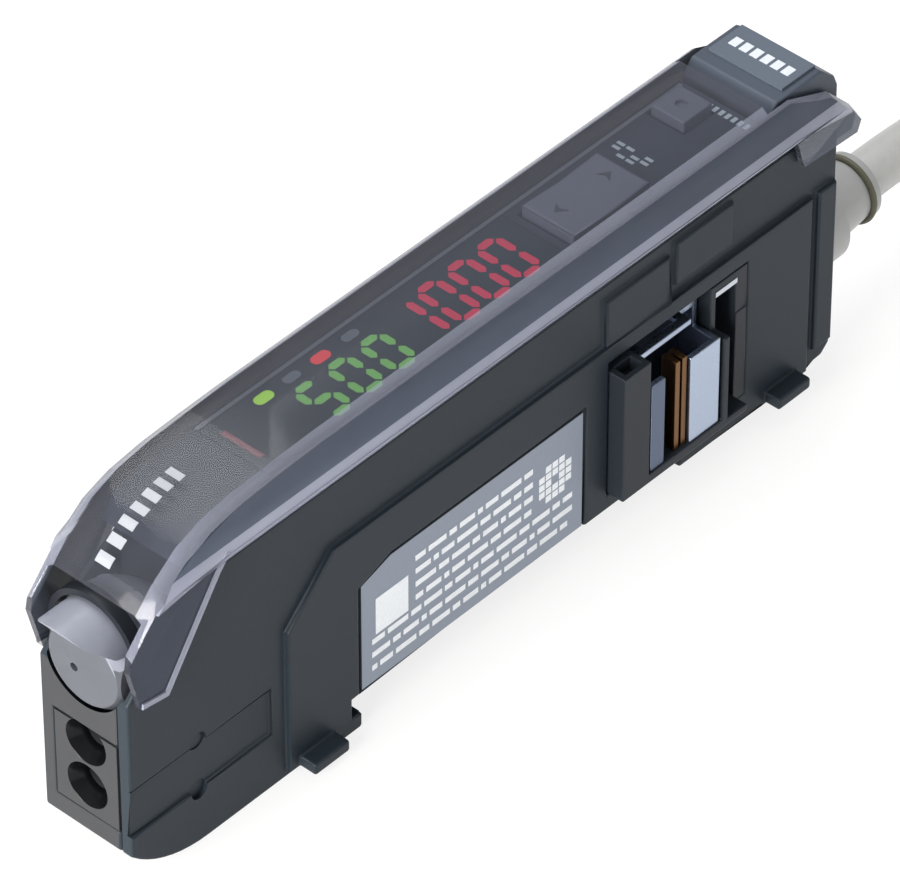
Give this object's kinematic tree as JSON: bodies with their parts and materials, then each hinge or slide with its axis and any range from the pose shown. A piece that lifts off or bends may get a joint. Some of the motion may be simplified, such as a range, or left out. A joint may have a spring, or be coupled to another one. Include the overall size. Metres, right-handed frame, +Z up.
{
  "type": "fibre optic sensor amplifier",
  "caption": "Slim rail-mounted fibre optic sensor amplifier with a smoked dust cover, digital display, keys, fibre lock lever, side expansion plug and grey cable.",
  "frame": {"origin": "middle of the rail channel, on the case mid-plane, level with the underside of the feet", "axes": "+X towards the cable end, +Z up, -Y the side with the expansion plug"},
  "size_m": [0.1802, 0.0376, 0.0304],
  "materials": {
    "case_black": "satin",
    "panel_black": "satin",
    "label_silver": "satin",
    "inner_black": "matte",
    "lamp_clear": "clear",
    "lever_milky": "milky",
    "steel": "plated",
    "window_smoked": "smoked",
    "digit_green": "lit",
    "digit_red": "lit",
    "key_slate": "soft",
    "board_green": "solder mask",
    "tag_slate": "satin",
    "cover_smoked": "smoked clear",
    "brass": "plated",
    "boot_pale": "soft",
    "cable_grey": "satin",
    "tie_black": "matte",
    "lead_colours": "satin"
  },
  "bodies": {
    "case": {"main_case": "case_black", "side_cover": "case_black", "rear_block": "case_black", "top_panel": "panel_black", "rating_label": "label_silver", "fibre_holder": "inner_black", "emitter_led": "lamp_clear", "receiver_photodiode": "inner_black", "lever_arch": "inner_black", "lever_pin": "steel", "display_window": "window_smoked", "green_display": "digit_green", "red_display": "digit_red", "indicator_lamps": "lamp_clear", "rocker_pin": "steel", "push_switches": "steel", "panel_board": "board_green", "main_board": "board_green", "tag_plate": "tag_slate", "cover_pin": "steel", "plug_housing": "inner_black", "plug_shell": "steel", "plug_contacts": "brass", "socket_housing": "inner_black", "socket_contacts": "brass", "cable_boot": "boot_pale", "cable": "cable_grey", "cable_coil": "cable_grey", "coil_tie": "tie_black", "lead_wires": "lead_colours"},
    "cover": {"dust_cover": "cover_smoked"},
    "lever": {"fibre_lock_lever": "lever_milky"},
    "rocker": {"up_down_rocker": "key_slate"},
    "set_button": {"set_key": "key_slate"}
  },
  "joints": [
    {"name": "cover_hinge", "type": "hinge", "parent": "case", "child": "cover", "pos_m": [0.03215, 0, 0.0266], "axis": [0, 1, 0], "range_deg": [0, 110]},
    {"name": "lever_pivot", "type": "hinge", "parent": "case", "child": "lever", "pos_m": [-0.03645, 0, 0.0189], "axis": [0, -1, 0], "range_deg": [0, 60]},
    {"name": "rocker_tilt", "type": "hinge", "parent": "case", "child": "rocker", "pos_m": [0.0122, 0, 0.0268], "axis": [0, 1, 0], "range_deg": [-3, 3], "stiffness_Nm_per_rad": 0.08},
    {"name": "set_press", "type": "slide", "parent": "case", "child": "set_button", "axis": [0, 0, -1], "range_m": [0, 0.0004], "stiffness_N_per_m": 3000}
  ]
}
